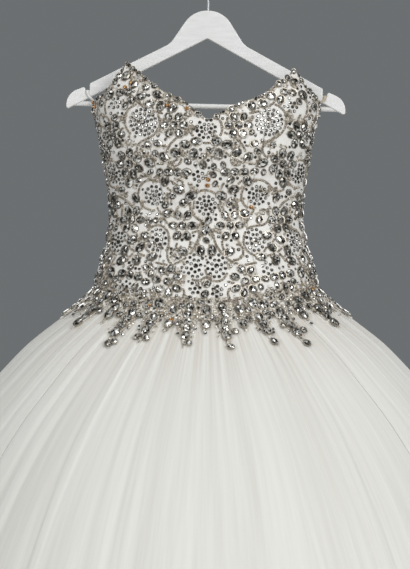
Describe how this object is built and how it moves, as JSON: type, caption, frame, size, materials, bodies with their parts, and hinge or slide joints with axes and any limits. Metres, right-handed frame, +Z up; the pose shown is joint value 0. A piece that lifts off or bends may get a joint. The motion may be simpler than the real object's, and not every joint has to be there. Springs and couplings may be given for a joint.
{
  "type": "wedding dress on a hanger",
  "caption": "Strapless ball gown with a crystal-beaded bodice and a full gathered tulle skirt, hanging by ribbon loops from a wooden hanger with a wire hook.",
  "frame": {"origin": "inside top of the hook's bend, where the rod or nail carries it", "axes": "+Z up, -Y towards the front of the gown, +X to the right as it is seen from the front"},
  "size_m": [1.4491, 1.3242, 1.5338],
  "materials": {
    "beaded_satin": "ivory satin covered with silver crystals and beads",
    "tulle": "soft white tulle in gathered layers",
    "white_wood": "smooth white lacquer",
    "wire": "bright plated steel wire",
    "ribbon": "narrow satin ribbon"
  },
  "bodies": {
    "root": {"bodice_center_front": "beaded_satin", "bodice_side_front_left": "beaded_satin", "bodice_side_front_right": "beaded_satin", "bodice_back_left": "beaded_satin", "bodice_back_right": "beaded_satin", "skirt_front": "tulle", "skirt_side_left": "tulle", "skirt_side_right": "tulle", "skirt_back_left": "tulle", "skirt_back_right": "tulle", "hanger_body": "white_wood", "hanger_bar": "white_wood", "hanger_hook": "wire", "hanger_loop_left": "ribbon", "hanger_loop_right": "ribbon"}
  },
  "joints": []
}
